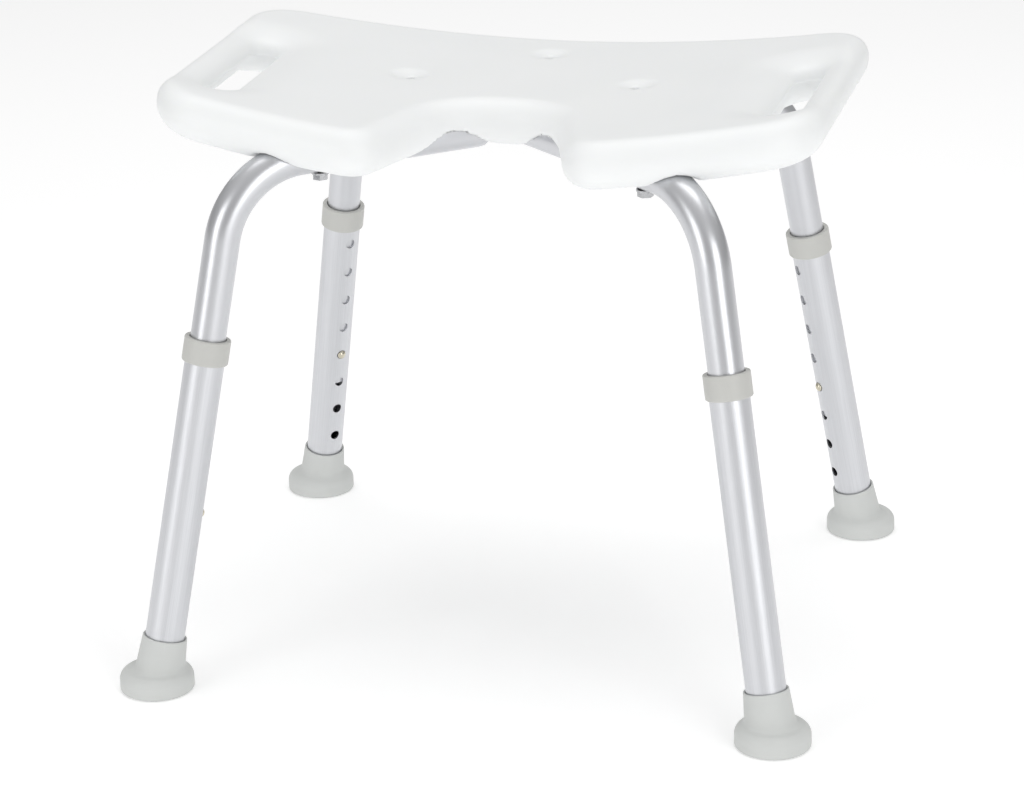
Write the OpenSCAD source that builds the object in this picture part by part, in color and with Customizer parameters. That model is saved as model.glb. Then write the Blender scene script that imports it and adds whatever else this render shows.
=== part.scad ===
// Height-adjustable shower stool.
// A blow-moulded saddle seat with a U cut-out rests on two crossed, bent tube frames.
// Four telescopic legs slide on the frame ends and lock with spring buttons.
// Millimetres, +Z up, origin on the floor under the crossing of the frames, front towards -Y.

/* [Seat] */
// Height of the seat's top surface at its centre, above the floor
seat_top_z = 406.5; // [402:0.5:411]
// Half of the seat's overall width
seat_half_width = 241; // [228:1:256]
// Thickness of the seat
seat_thickness = 35; // [33:0.5:38]
// How far the ends rise above the centre
end_rise = 23; // [14:1:28]
// Y of the back edge at the centre
back_y = 159; // [150:1:176]
// How far the back edge comes forward at its corners
back_bow = 17; // [8:1:24]
// Y of the front edge at the outer corners
front_outer_y = -125; // [-136:1:-118]
// Y of the front edge beside the cut-out
front_inner_y = -151; // [-165:1:-144]
// Y of the back wall of the cut-out
cutout_back_y = -37; // [-55:1:-25]
// Half width of the cut-out at the front edge
cutout_front_half = 71; // [62:1:84]
// Half width of the cut-out at its back wall
cutout_back_half = 38; // [36:1:50]
// Depth of the rounded rim, inwards from the edge
rim_depth = 16; // [12:0.5:17]
// Wall thickness of the hollow seat
seat_wall = 3; // [2.5:0.1:3.4]

/* [Hand grips and drains] */
// Distance of each hand slot from the middle of the seat
slot_x = 204; // [198:1:208]
// Width of a hand slot
slot_width = 24; // [20:1:26]
// Length of a hand slot
slot_length = 128; // [110:1:134]
// Y of the middle of a hand slot
slot_y = -8; // [-14:1:2]
// Thickness of the web that a hand slot goes through
slot_web = 9; // [7:0.5:11]
// Diameter of a drain dish
drain_dish_d = 27; // [22:1:30]
// Depth of a drain dish
drain_dish_depth = 3; // [2:0.5:4]
// Diameter of a drain hole
drain_hole_d = 6; // [4:0.5:7]

/* [Frame] */
// Outer diameter of the frame tubes
frame_tube_d = 25.4; // [25:0.1:25.4]
// Wall thickness of the frame tubes
frame_wall = 1.2; // [1:0.1:1.4]
// Height of the frame tubes' centre line under the seat
frame_z = 381; // [378:0.5:383]
// Angle between each frame and the X axis
frame_angle = 41.4; // [40:0.1:43]
// Centre line radius of the bends
bend_radius = 64; // [58:1:66]
// How much smaller the tube's radius is in a bend
bend_draw = 0.2; // [0.15:0.05:0.3]
// Lean of the legs from the vertical
leg_lean = 11.7; // [11:0.1:12.4]
// Distance from the centre to a leg's centre line on the floor
foot_radius = 302.5; // [298:0.5:310]

/* [Legs] */
// Outer diameter of the leg tubes
leg_tube_d = 28.6; // [28.6:0.1:29]
// Radial clearance between a leg tube and its frame tube
tube_clearance = 0.1; // [0.05:0.01:0.1]
// Distance along the leg from the floor to the top of the leg tube
leg_top = 263; // [261:0.5:264]
// Distance between adjusting holes
hole_pitch = 25.4; // [25:0.1:25.4]
// Number of adjusting holes
hole_count = 8; // [7:1:8]
// Distance along the leg from the floor to the top hole
top_hole = 235.8; // [235:0.1:237]
// Hole that the button stands in, counted from the top
locked_hole = 5; // [5:1:5]
// Diameter of the adjusting holes
hole_d = 7.7; // [7.6:0.1:8.4]
// Diameter of a lock button
button_d = 7; // [6.4:0.1:7]
// How far a button stands out of the leg tube
button_stand_out = 2.3; // [1.6:0.1:2.6]
// Height of a collar
collar_h = 18; // [16:0.5:20]
// Outer diameter of a collar
collar_d = 33.4; // [32.6:0.2:35]

/* [Feet] */
// Diameter of a foot's base
foot_base_d = 54; // [50:1:58]
// Height of a foot's base
foot_base_h = 15; // [13:0.5:16]
// Distance along the leg from the floor to the top of a foot
foot_top = 39.5; // [37:0.5:44]
// Outer diameter of a foot's neck at its top
foot_neck_top_d = 32.3; // [32:0.1:34]
// Outer diameter of a foot's neck at the base
foot_neck_low_d = 37.6; // [36:0.2:40]

/* [Bolts] */
// Distance of each seat bolt from the centre
bolt_radius = 157; // [150:1:160]
// Diameter of the seat bolts
bolt_d = 6; // [5:0.5:6]

/* [Hidden] */
$fn = 72;
// the outline's tables and the seat's mesh take these steps
arc_steps = 7;
station_step = 6;
rim_angles = [0, 14, 28, 42, 56, 72, 90];
cavity_rim_angles = [0, 45, 90];
cavity_station_step = 17;
seat_mid_samples = 4;
rise_reach = 235;

// radii of the seat's outline
cutout_back_r = 45;
cutout_front_r = 27;
front_corner_r = 42;
back_corner_r = 45;
back_edge_r = 1450;

// tube sizes
frame_r = frame_tube_d / 2;
frame_inner_r = frame_r - frame_wall;
leg_r = leg_tube_d / 2;
leg_bore_r = frame_r + tube_clearance;
frame_end = top_hole - hole_pitch * (locked_hole - 1) - 27;
button_at = top_hole - hole_pitch * (locked_hole - 1);
leg_bottom = 10;

// the bend runs between the level tube and the leg
bend_turn = 90 - leg_lean;
bend_lap = 1;
bend_cut = bend_radius * tan(bend_turn / 2);
corner_radius = foot_radius - frame_z * tan(leg_lean);
level_end = corner_radius - bend_cut;
leg_straight_top = frame_z / cos(leg_lean) - bend_cut;

// each frame is pressed to half its height where they cross
saddle_half = frame_r / sin(2 * frame_angle) + frame_r / tan(2 * frame_angle) + 0.6;
saddle_gap = 0.15;

// clearance of the seat's tube channels, and the trough where the bend leaves the seat
channel_gap = 0.3;
channel_end = level_end + 14.5;
trough_r = 14.5;
trough_start = 180;
trough_end = 226;
trough_slope = 17;

// cavity limits inside the seat
cavity_half_x = 168;
post_wall = 3;
insert_r = 4.6;
insert_h = 11;
insert_gap = 0.2;

// azimuths of the four legs
legs = [["fl", 180 + frame_angle], ["fr", -frame_angle], ["bl", 180 - frame_angle], ["br", frame_angle]];

seat_color = [0.94, 0.95, 0.95];
tube_color = [0.78, 0.79, 0.81];
collar_color = [0.78, 0.78, 0.76];
foot_color = [0.79, 0.81, 0.80];
steel_color = [0.62, 0.62, 0.64];
brass_color = [0.80, 0.72, 0.52];

// ---------- outline of the seat ----------

function unit(v) = v / norm(v);

// points of a round corner of radius r at p, on the way from a to b
function corner_arc(a, p, b, r) =
    let(
        u = unit(a - p),
        v = unit(b - p),
        half = acos(u * v) / 2,
        centre = p + unit(u + v) * r / sin(half),
        from = p + u * r / tan(half) - centre,
        to = p + v * r / tan(half) - centre,
        start = atan2(from.y, from.x),
        sweep = atan2(from.x * to.y - from.y * to.x, from * to)
    )
    [for (k = [0:arc_steps]) centre + r * [cos(start + sweep * k / arc_steps), sin(start + sweep * k / arc_steps)]];

cut_mid = [0, cutout_back_y];
cut_corner = [cutout_back_half, cutout_back_y];
wing_tip = [cutout_front_half, front_inner_y];
front_corner = [seat_half_width, front_outer_y];
back_corner = [seat_half_width, back_y - back_bow];
back_turn = [seat_half_width / 2, back_y];
back_mid = [0, back_y];

front_half = concat(
    [cut_mid],
    corner_arc(cut_mid, cut_corner, wing_tip, cutout_back_r),
    corner_arc(cut_corner, wing_tip, front_corner, cutout_front_r),
    corner_arc(wing_tip, front_corner, back_corner, front_corner_r)
);
back_half = concat(
    corner_arc(front_corner, back_corner, back_turn, back_corner_r),
    corner_arc(back_corner, back_turn, back_mid, back_edge_r),
    [back_mid]
);
outline_half = concat(front_half, back_half);

function front_y(x) = lookup(abs(x), front_half);
function back_y_at(x) = lookup(abs(x), back_half);

// distance from p to the segment a-b, and to the whole outline
function segment_distance(p, a, b) =
    let(ab = b - a, t = max(0, min(1, ((p - a) * ab) / (ab * ab)))) norm(p - a - t * ab);
function edge_distance(p) =
    min([for (k = [0:len(outline_half) - 2]) segment_distance(p, outline_half[k], outline_half[k + 1])]);

// the top surface is a saddle: level from front to back, rising towards both ends
function seat_surface(x) = seat_top_z + end_rise * pow(x / rise_reach, 2);
function rim_drop(d, depth, half) = d >= depth ? 0 : half * (1 - sqrt(1 - pow(1 - max(d, 0) / depth, 2)));

// stretch of the rim samples where the outline runs at a slant to X
function slant(f, x) = norm([1, (lookup(abs(x) + 1, f) - lookup(abs(x) - 1, f)) / 2]);

// ---------- solid with the seat's form, shrunk by inset on all sides ----------

module seat_form(inset, angles, step) {
    depth = rim_depth - inset;
    half = seat_thickness / 2 - inset;
    reach = seat_half_width - inset;
    steps = ceil((reach - depth) / step);
    flat_x = [for (k = [0:steps]) (reach - depth) * k / steps];
    rim_x = [for (k = [len(angles) - 2:-1:0]) reach - depth * (1 - cos(angles[k]))];
    right_x = concat(flat_x, rim_x);
    stations = concat([for (k = [len(right_x) - 1:-1:1]) -right_x[k]], right_x);
    rim = [for (a = angles) 1 - cos(a)];
    last_i = len(stations) - 1;
    last_j = 2 * len(rim) + seat_mid_samples - 1;

    // Y positions of one station's samples, from the front edge to the back edge
    rows = [for (x = stations)
        let(
            front = front_y(x) + inset * slant(front_half, x),
            back = back_y_at(x) - inset * slant(back_half, x),
            span = back - front,
            front_rim = min(depth * slant(front_half, x), 0.44 * span),
            back_rim = min(depth * slant(back_half, x), 0.44 * span),
            middle = span - front_rim - back_rim
        )
        concat(
            [for (f = rim) front + front_rim * f],
            [for (k = [1:seat_mid_samples]) front + front_rim + middle * k / (seat_mid_samples + 1)],
            [for (k = [len(rim) - 1:-1:0]) back - back_rim * rim[k]]
        )];

    function on_border(i, j) = i == 0 || i == last_i || j == 0 || j == last_j;
    function drop(i, j) =
        on_border(i, j) ? half : rim_drop(edge_distance([abs(stations[i]), rows[i][j]]) - inset, depth, half);
    drops = [for (i = [0:last_i]) [for (j = [0:last_j]) drop(i, j)]];
    mid_z = [for (x = stations) seat_surface(x) - seat_thickness / 2];

    top = [for (i = [0:last_i], j = [0:last_j]) [stations[i], rows[i][j], mid_z[i] + half - drops[i][j]]];
    low = [for (i = [0:last_i], j = [0:last_j]) [stations[i], rows[i][j], mid_z[i] - half + drops[i][j]]];

    // top and underside share the vertices along the edge
    function top_at(i, j) = i * (last_j + 1) + j;
    function low_at(i, j) = on_border(i, j) ? top_at(i, j) : len(top) + top_at(i, j);
    // the diagonal of each cell runs towards the nearest corner of the grid
    function to_corner(i, j) = (i < last_i / 2) == (j < last_j / 2);
    function halves(a, b, c, d, split) = split ? [[a, b, c], [a, c, d]] : [[a, b, d], [b, c, d]];
    faces = concat(
        [for (i = [0:last_i - 1], j = [0:last_j - 1]) each
            halves(top_at(i, j), top_at(i, j + 1), top_at(i + 1, j + 1), top_at(i + 1, j), to_corner(i, j))],
        [for (i = [0:last_i - 1], j = [0:last_j - 1]) each
            halves(low_at(i, j), low_at(i + 1, j), low_at(i + 1, j + 1), low_at(i, j + 1), to_corner(i, j))]
    );
    polyhedron(points = concat(top, low), faces = faces, convexity = 6);
}

// a straight slot standing on z = 0, running along Y, with round ends
module slot_prism(width, length, height) {
    straight = length - width;
    translate([-width / 2, -straight / 2, 0]) cube([width, straight, height]);
    for (s = [-1, 1]) translate([0, s * straight / 2, 0]) cylinder(d = width, h = height);
}

// a slot that widens from low_w at z = 0 to top_w at its height
module slot_funnel(low_w, top_w, straight, height) {
    rotate([90, 0, 0]) linear_extrude(straight, center = true)
        polygon([[-low_w / 2, 0], [low_w / 2, 0], [top_w / 2, height], [-top_w / 2, height]]);
    for (s = [-1, 1]) translate([0, s * straight / 2, 0]) cylinder(d1 = low_w, d2 = top_w, h = height);
}

// ---------- placing ----------

// the frame of a leg: Z runs up the leg from the floor, -X faces the stool's centre
module on_leg(azimuth) {
    rotate([0, 0, azimuth]) translate([foot_radius, 0, 0]) rotate([0, -leg_lean, 0]) children();
}

module at_each_bolt() {
    for (leg = legs) rotate([0, 0, leg[1]]) translate([bolt_radius, 0, 0]) children();
}

// where a hand slot crosses the seat, square to the sloping surface there
slot_surface = seat_surface(slot_x);
slot_tilt = atan(2 * end_rise * slot_x / pow(rise_reach, 2));
module at_each_slot() {
    for (s = [-1, 1])
        translate([s * slot_x, slot_y, slot_surface]) rotate([0, -s * slot_tilt, 0]) children();
}

drains = [[-84, 17], [84, 17], [0, 103]];
module at_each_drain() {
    for (p = drains) translate([p.x, p.y, seat_surface(p.x)]) children();
}

// ---------- seat ----------

// funnel above the web, web, and the finger pocket below it
funnel_depth = 8;
funnel_spread = 13;
pocket_width = 34;

module hand_slots() {
    at_each_slot() {
        translate([0, 0, -funnel_depth])
            slot_funnel(slot_width, slot_width + 2 * funnel_spread, slot_length - slot_width, 2 * funnel_depth);
        translate([0, 0, -funnel_depth - slot_web - 1]) slot_prism(slot_width, slot_length, slot_web + 2);
        translate([0, 0, -funnel_depth - slot_web - 30])
            slot_prism(pocket_width, slot_length + pocket_width - slot_width, 30);
    }
}

module drain_dishes() {
    dish_sphere = (pow(drain_dish_d / 2, 2) + pow(drain_dish_depth, 2)) / (2 * drain_dish_depth);
    at_each_drain() {
        translate([0, 0, dish_sphere - drain_dish_depth]) sphere(r = dish_sphere);
        translate([0, 0, -seat_thickness - 5]) cylinder(d = drain_hole_d, h = seat_thickness + 5);
    }
}

// channels for the level tubes, open downwards, and sloping troughs for the start of each bend
module tube_channels(grow) {
    r = frame_r + channel_gap + grow;
    for (turn = [-1, 1]) rotate([0, 0, turn * frame_angle]) {
        translate([-channel_end, 0, frame_z]) rotate([0, 90, 0]) cylinder(r = r, h = 2 * channel_end);
        translate([-channel_end, -r, frame_z - 40]) cube([2 * channel_end, 2 * r, 40]);
    }
    for (leg = legs) rotate([0, 0, leg[1]])
        translate([trough_start, 0, frame_z - 1]) rotate([0, 90 + trough_slope, 0]) translate([0, 0, -grow])
            cylinder(r = trough_r + grow, h = trough_end - trough_start + grow);
}

module seat_cavity() {
    difference() {
        intersection() {
            seat_form(seat_wall, cavity_rim_angles, cavity_station_step);
            translate([-cavity_half_x, -300, 300]) cube([2 * cavity_half_x, 600, 200]);
        }
        tube_channels(post_wall);
        at_each_drain() translate([0, 0, -seat_thickness - 5])
            cylinder(r = drain_dish_d / 2 + 1, h = seat_thickness + 10);
        at_each_bolt() translate([0, 0, frame_z]) cylinder(r = insert_r + post_wall, h = 60);
    }
}

module seat() {
    color(seat_color) difference() {
        seat_form(0, rim_angles, station_step);
        seat_cavity();
        tube_channels(0);
        hand_slots();
        drain_dishes();
        at_each_bolt() translate([0, 0, frame_z]) cylinder(r = insert_r, h = frame_r + insert_gap + insert_h);
    }
}

// ---------- frame ----------

// centre line of a frame at radius r; a bend is drawn thinner, and its ends lie inside the straight tubes
module frame_path(r) {
    for (side = [0, 180]) rotate([0, 0, side]) {
        translate([0, 0, frame_z]) rotate([0, 90, 0]) cylinder(r = r, h = level_end);
        translate([level_end, 0, frame_z - bend_radius]) rotate([90, 0, 0])
            rotate_extrude(angle = bend_turn + 2 * bend_lap, start = 90 - bend_turn - bend_lap)
                translate([bend_radius, 0]) circle(r = r - bend_draw);
        on_leg(0) translate([0, 0, frame_end]) cylinder(r = r, h = leg_straight_top - frame_end);
    }
}

// half of the tube's height at the crossing, with the pressed floor that closes it
module pressed_half(up) {
    intersection() {
        translate([-saddle_half - 5, 0, frame_z]) rotate([0, 90, 0]) cylinder(r = frame_r, h = 2 * saddle_half + 10);
        union() {
            translate([-saddle_half - frame_wall, -20, frame_z + (up ? saddle_gap : -saddle_gap - frame_wall)])
                cube([2 * (saddle_half + frame_wall), 40, frame_wall]);
            for (s = [-1, 1])
                translate([s * (saddle_half + frame_wall / 2) - frame_wall / 2, -20, frame_z - (up ? 20 : 0)])
                    cube([frame_wall, 40, 20]);
        }
    }
}

module frame_tube(turn, up) {
    color(tube_color) rotate([0, 0, turn]) {
        difference() {
            frame_path(frame_r);
            frame_path(frame_inner_r);
            on_leg(0) translate([0, 0, frame_end - 1]) cylinder(r = frame_inner_r, h = 2);
            on_leg(180) translate([0, 0, frame_end - 1]) cylinder(r = frame_inner_r, h = 2);
            translate([-saddle_half, -20, frame_z + (up ? saddle_gap - 20 : -saddle_gap)])
                cube([2 * saddle_half, 40, 20]);
            for (side = [0, 180]) {
                rotate([0, 0, side]) translate([bolt_radius, 0, frame_z - 20]) cylinder(d = bolt_d + 0.6, h = 40);
                on_leg(side) translate([0, 0, button_at]) rotate([0, -90, 0]) cylinder(d = hole_d, h = leg_r + 5);
            }
        }
        pressed_half(up);
    }
}

// ---------- legs ----------

module leg_tube(azimuth) {
    color(tube_color) on_leg(azimuth) difference() {
        translate([0, 0, leg_bottom]) cylinder(r = leg_r, h = leg_top - leg_bottom);
        translate([0, 0, leg_bottom - 1]) cylinder(r = leg_bore_r, h = leg_top - leg_bottom + 2);
        for (k = [0:hole_count - 1])
            translate([0, 0, top_hole - k * hole_pitch]) rotate([0, -90, 0]) cylinder(d = hole_d, h = leg_r + 5);
    }
}

// ring on the leg tube's end, with a lip that guides the frame tube
collar_lip_h = 2.3;
collar_lip_gap = 0.45;
collar_edge = 1;
module collar(azimuth) {
    outer = collar_d / 2;
    top = leg_top + collar_lip_h;
    low = top - collar_h;
    lip = frame_r + collar_lip_gap;
    color(collar_color) on_leg(azimuth) rotate_extrude() polygon([
        [leg_r, low], [outer - collar_edge, low], [outer, low + collar_edge], [outer, top - collar_edge],
        [outer - collar_edge, top], [lip + 0.5, top], [lip, top - 0.5], [lip, leg_top], [leg_r, leg_top]
    ]);
}

// a round base that stands flat, and a neck that leans with the leg
foot_shoulder = 7;
foot_edge = 1.5;
mouth_flare = 0.7;
module foot(azimuth) {
    base_r = foot_base_d / 2;
    shoulder_r = base_r - foot_shoulder;
    shoulder_z = foot_base_h - foot_shoulder;
    color(foot_color) difference() {
        union() {
            rotate([0, 0, azimuth]) translate([foot_radius, 0, 0]) rotate_extrude() polygon(concat(
                [[0, 0], [base_r - foot_edge, 0], [base_r, foot_edge]],
                [for (a = [0:15:75]) [shoulder_r, shoulder_z] + foot_shoulder * [cos(a), sin(a)]],
                [[shoulder_r, foot_base_h], [0, foot_base_h]]
            ));
            on_leg(azimuth) translate([0, 0, leg_bottom - 4])
                cylinder(d1 = foot_neck_low_d, d2 = foot_neck_top_d, h = foot_top - leg_bottom + 4);
        }
        on_leg(azimuth) translate([0, 0, leg_bottom]) cylinder(r = leg_r, h = foot_top);
        on_leg(azimuth) translate([0, 0, foot_top - 2.5])
            cylinder(r1 = leg_r - 0.4, r2 = leg_r + mouth_flare, h = 3);
    }
}

// ---------- locks ----------

// the button's foot lies on the spring, flat against it
spring_face = frame_inner_r - 1.1;
spring_t = 0.8;
spring_w = 9;
spring_pad = 8;
spring_h = 46;
module button(azimuth) {
    tip = leg_r + button_stand_out;
    dome = 1.9;
    dome_r = (pow(button_d / 2, 2) + pow(dome, 2)) / (2 * dome);
    color(brass_color) on_leg(azimuth) translate([0, 0, button_at]) rotate([0, -90, 0]) intersection() {
        translate([0, 0, spring_face]) cylinder(d = button_d, h = tip - spring_face + 1);
        union() {
            translate([0, 0, spring_face - 1]) cylinder(r = button_d, h = tip - dome - spring_face + 1);
            translate([0, 0, tip - dome_r]) sphere(r = dome_r);
        }
    }
}

// a strip of spring steel bent to a V inside the frame tube
module button_spring(azimuth) {
    outer = spring_face;
    inner = spring_face - spring_t;
    color(steel_color) on_leg(azimuth) translate([0, spring_w / 2, button_at]) rotate([90, 0, 0])
        linear_extrude(spring_w) polygon([
            [-outer, -spring_pad], [-outer, spring_pad], [-2, spring_h], [2, spring_h],
            [outer, spring_pad], [outer, -spring_pad], [inner, -spring_pad], [inner, spring_pad],
            [1.5, spring_h - 0.8], [-1.5, spring_h - 0.8], [-inner, spring_pad], [-inner, -spring_pad]
        ]);
}

// ---------- seat bolts ----------

washer_h = 1.4;
head_h = 4;
head_flats = 10;
bolt_reach = 10;
tube_underside = frame_z - frame_r;

module seat_bolts() {
    color(steel_color) at_each_bolt() {
        translate([0, 0, tube_underside - washer_h - head_h])
            cylinder(d = head_flats / cos(30), h = head_h, $fn = 6);
        translate([0, 0, tube_underside - washer_h - 0.5])
            cylinder(d = bolt_d, h = 2 * frame_r + bolt_reach + washer_h + 0.5);
    }
}

module seat_washers() {
    color(steel_color) at_each_bolt() translate([0, 0, tube_underside - washer_h]) difference() {
        cylinder(d = 2 * bolt_d + 1, h = washer_h);
        translate([0, 0, -1]) cylinder(d = bolt_d + 0.4, h = washer_h + 2);
    }
}

module seat_inserts() {
    color(brass_color) at_each_bolt() translate([0, 0, frame_z + frame_r + insert_gap]) difference() {
        cylinder(r = insert_r, h = insert_h);
        translate([0, 0, -1]) cylinder(d = bolt_d + 0.1, h = insert_h + 2);
    }
}

seat();
frame_tube(frame_angle, true);  // frame_tube_a
frame_tube(-frame_angle, false);  // frame_tube_b
leg_tube(legs[0][1]);  // leg_tube_fl
leg_tube(legs[1][1]);  // leg_tube_fr
leg_tube(legs[2][1]);  // leg_tube_bl
leg_tube(legs[3][1]);  // leg_tube_br
collar(legs[0][1]);  // collar_fl
collar(legs[1][1]);  // collar_fr
collar(legs[2][1]);  // collar_bl
collar(legs[3][1]);  // collar_br
foot(legs[0][1]);  // foot_fl
foot(legs[1][1]);  // foot_fr
foot(legs[2][1]);  // foot_bl
foot(legs[3][1]);  // foot_br
button(legs[0][1]);  // button_fl
button(legs[1][1]);  // button_fr
button(legs[2][1]);  // button_bl
button(legs[3][1]);  // button_br
button_spring(legs[0][1]);  // button_spring_fl
button_spring(legs[1][1]);  // button_spring_fr
button_spring(legs[2][1]);  // button_spring_bl
button_spring(legs[3][1]);  // button_spring_br
seat_bolts();
seat_washers();
seat_inserts();
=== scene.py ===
# %% [markdown]
# # A height-adjustable shower stool
#
# The stool has a white saddle-shaped seat, two bent aluminium tubes that cross under it, four
# telescopic legs with adjusting holes, grey collars and soft grey feet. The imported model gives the
# exact sizes and places. This script gives every piece its final surface. Each cell does one step,
# and says first what the real thing is, how it could be made, and why it is made this way here.

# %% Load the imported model
import math

import bpy
import bmesh
import numpy as np
from mathutils import Matrix, Vector


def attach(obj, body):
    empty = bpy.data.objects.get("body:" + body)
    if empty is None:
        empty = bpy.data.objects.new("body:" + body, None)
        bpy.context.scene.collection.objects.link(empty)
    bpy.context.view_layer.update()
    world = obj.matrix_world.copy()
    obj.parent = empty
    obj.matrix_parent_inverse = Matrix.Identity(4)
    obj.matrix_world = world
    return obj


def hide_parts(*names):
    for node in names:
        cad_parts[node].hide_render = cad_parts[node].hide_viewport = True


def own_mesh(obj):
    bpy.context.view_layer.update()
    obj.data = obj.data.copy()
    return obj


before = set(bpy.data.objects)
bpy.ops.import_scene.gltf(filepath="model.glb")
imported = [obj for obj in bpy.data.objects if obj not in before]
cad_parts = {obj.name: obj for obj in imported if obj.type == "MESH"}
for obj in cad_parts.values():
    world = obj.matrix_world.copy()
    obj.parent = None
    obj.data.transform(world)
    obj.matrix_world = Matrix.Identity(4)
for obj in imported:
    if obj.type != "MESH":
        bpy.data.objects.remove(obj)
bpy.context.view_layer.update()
print("pieces in the packed model:", len(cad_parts))

# %% [markdown]
# ## Small tools
#
# Sizes are written in millimetres and turned to metres when a mesh is made. Colours are written as
# sRGB hex values, as a paint chart gives them, and one function turns them to the linear values
# that a shader works with.

# %% Millimetres, colours and nodes
MM = 0.001


def linear(code):
    """An sRGB hex colour such as #E8EAEC as linear RGBA, by the sRGB standard's own curve."""
    parts = [int(code[k:k + 2], 16) / 255 for k in (1, 3, 5)]
    made = [c / 12.92 if c <= 0.04045 else ((c + 0.055) / 1.055) ** 2.4 for c in parts]
    return (*made, 1.0)


def add_node(tree, kind, links=None, **settings):
    """Adds a node, sets its properties or input sockets, and links sockets into it."""
    made = tree.nodes.new(kind)
    for key, value in settings.items():
        if hasattr(made, key):
            setattr(made, key, value)
        else:
            made.inputs[key.replace("_", " ")].default_value = value
    for socket, source in (links or {}).items():
        tree.links.new(source, made.inputs[socket])
    return made


def new_material(name):
    """An empty node material with its shader; returns the material, its tree and the shader."""
    made = bpy.data.materials.new(name)
    made.use_nodes = True
    tree = made.node_tree
    return made, tree, tree.nodes["Principled BSDF"]


def give(piece, material):
    piece.data.materials.clear()
    piece.data.materials.append(material)


def new_object(name, data):
    """A new object around a mesh, a lamp or a camera, put in the scene."""
    made = bpy.data.objects.new(name, data)
    bpy.context.scene.collection.objects.link(made)
    return made


def mesh_piece(name, points_mm, faces, smooth=True):
    """A new object from points in millimetres and faces, with its place in its mesh."""
    mesh = bpy.data.meshes.new(name)
    points = np.asarray(points_mm, float) * MM
    mesh.from_pydata([tuple(p) for p in points], [], [tuple(f) for f in faces])
    mesh.validate()
    mesh.polygons.foreach_set("use_smooth", [smooth] * len(mesh.polygons))
    return new_object(name, mesh)


print("tools ready; a mid grey is", [round(v, 3) for v in linear("#808080")[:3]])

# %% [markdown]
# ## Camera
#
# The stool is seen from the front, a little from the right and from above the seat, with a long
# lens, so that its legs hardly converge. A camera needs a place, a direction and a lens. Here the
# direction is built from three angles, which keeps it easy to read.

# %% Place the camera
CAMERA_PLACE = (591.9, -2286.5, 1039.3)
CAMERA_YAW, CAMERA_PITCH, CAMERA_ROLL = -14.747, 20.225, -1.212
LENS_PER_WIDTH, LENS_SHIFT_X = 3.281, 0.0024
SENSOR_WIDTH = 36.0

yaw, pitch, roll = (math.radians(a) for a in (CAMERA_YAW, CAMERA_PITCH, CAMERA_ROLL))
ahead = Vector((math.sin(yaw) * math.cos(pitch), math.cos(yaw) * math.cos(pitch),
                -math.sin(pitch)))
level_right = Vector((math.cos(yaw), -math.sin(yaw), 0))
level_up = level_right.cross(ahead)
right = level_right * math.cos(roll) + level_up * math.sin(roll)
up = level_up * math.cos(roll) - level_right * math.sin(roll)
camera = new_object("camera", bpy.data.cameras.new("camera"))
camera.data.sensor_width = SENSOR_WIDTH
camera.data.lens = LENS_PER_WIDTH * SENSOR_WIDTH
camera.data.shift_x = LENS_SHIFT_X
turned_to = Matrix((right, up, -ahead)).transposed().to_4x4()
camera.matrix_world = Matrix.Translation(Vector(CAMERA_PLACE) * MM) @ turned_to
bpy.context.scene.camera = camera
bpy.context.scene.view_settings.view_transform = "Standard"
print("lens in mm:", round(camera.data.lens, 1))

# %% [markdown]
# ## Floor and light
#
# A product of this kind is shown on a seamless pale sweep under large soft lamps. A pale floor and
# a pale sky do the same. Tall soft boxes stand at the front left and front right and reach almost
# to the floor. The tubes show them as two broad bright bands, with a darker band between.

# %% Floor, sky and soft boxes
FLOOR_HALF, FLOOR_Z = 6000, -0.3
FLOOR_GLOW = 0.21
SKY_LOW, SKY_HIGH = 0.37, 0.72
LOOKED_AT = (0, 0, 0.2)
SOFT_BOXES = (  # name, place and size in metres, power in watts
    ("box_top", (0.0, 0.3, 2.6), (2.4, 1.6), 20),
    ("box_left", (-1.6, -2.3, 0.9), (1.2, 1.6), 14),
    ("box_right", (1.9, -1.9, 0.9), (1.3, 1.6), 16.5))


def floor_material():
    """A matt white with a faint glow of its own, which lifts the floor to an even white."""
    made, tree, shader = new_material("pale_sweep")
    shader.inputs["Base Color"].default_value = linear("#F8F8F8")
    shader.inputs["Emission Color"].default_value = (1, 1, 1, 1)
    shader.inputs["Emission Strength"].default_value = FLOOR_GLOW
    shader.inputs["Roughness"].default_value = 0.9
    shader.inputs["Specular IOR Level"].default_value = 0.1
    return made


floor_corners = [(FLOOR_HALF * x, FLOOR_HALF * y, FLOOR_Z)
                 for x, y in ((-1, -1), (1, -1), (1, 1), (-1, 1))]
floor = mesh_piece("floor", floor_corners, [(0, 1, 2, 3)])
give(floor, floor_material())

world = bpy.data.worlds.new("studio")
bpy.context.scene.world = world
world.use_nodes = True
sky = world.node_tree
upward = add_node(sky, "ShaderNodeTexCoord").outputs["Generated"]
height = add_node(sky, "ShaderNodeSeparateXYZ", {"Vector": upward}).outputs["Z"]
glow = add_node(sky, "ShaderNodeMapRange", {"Value": height}, To_Min=SKY_LOW, To_Max=SKY_HIGH)
sky.links.new(glow.outputs["Result"], sky.nodes["Background"].inputs["Strength"])
sky.nodes["Background"].inputs["Color"].default_value = (1, 1, 1, 1)


def soft_box(name, place, size, power):
    """A rectangular area lamp turned towards the middle of the stool."""
    lamp = bpy.data.lights.new(name, "AREA")
    lamp.shape = "RECTANGLE"
    lamp.size, lamp.size_y = size
    lamp.energy = power
    made = new_object(name, lamp)
    made.location = place
    made.rotation_mode = "QUATERNION"
    made.rotation_quaternion = (Vector(LOOKED_AT) - Vector(place)).to_track_quat("-Z", "Y")


for box in SOFT_BOXES:
    soft_box(*box)

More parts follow.
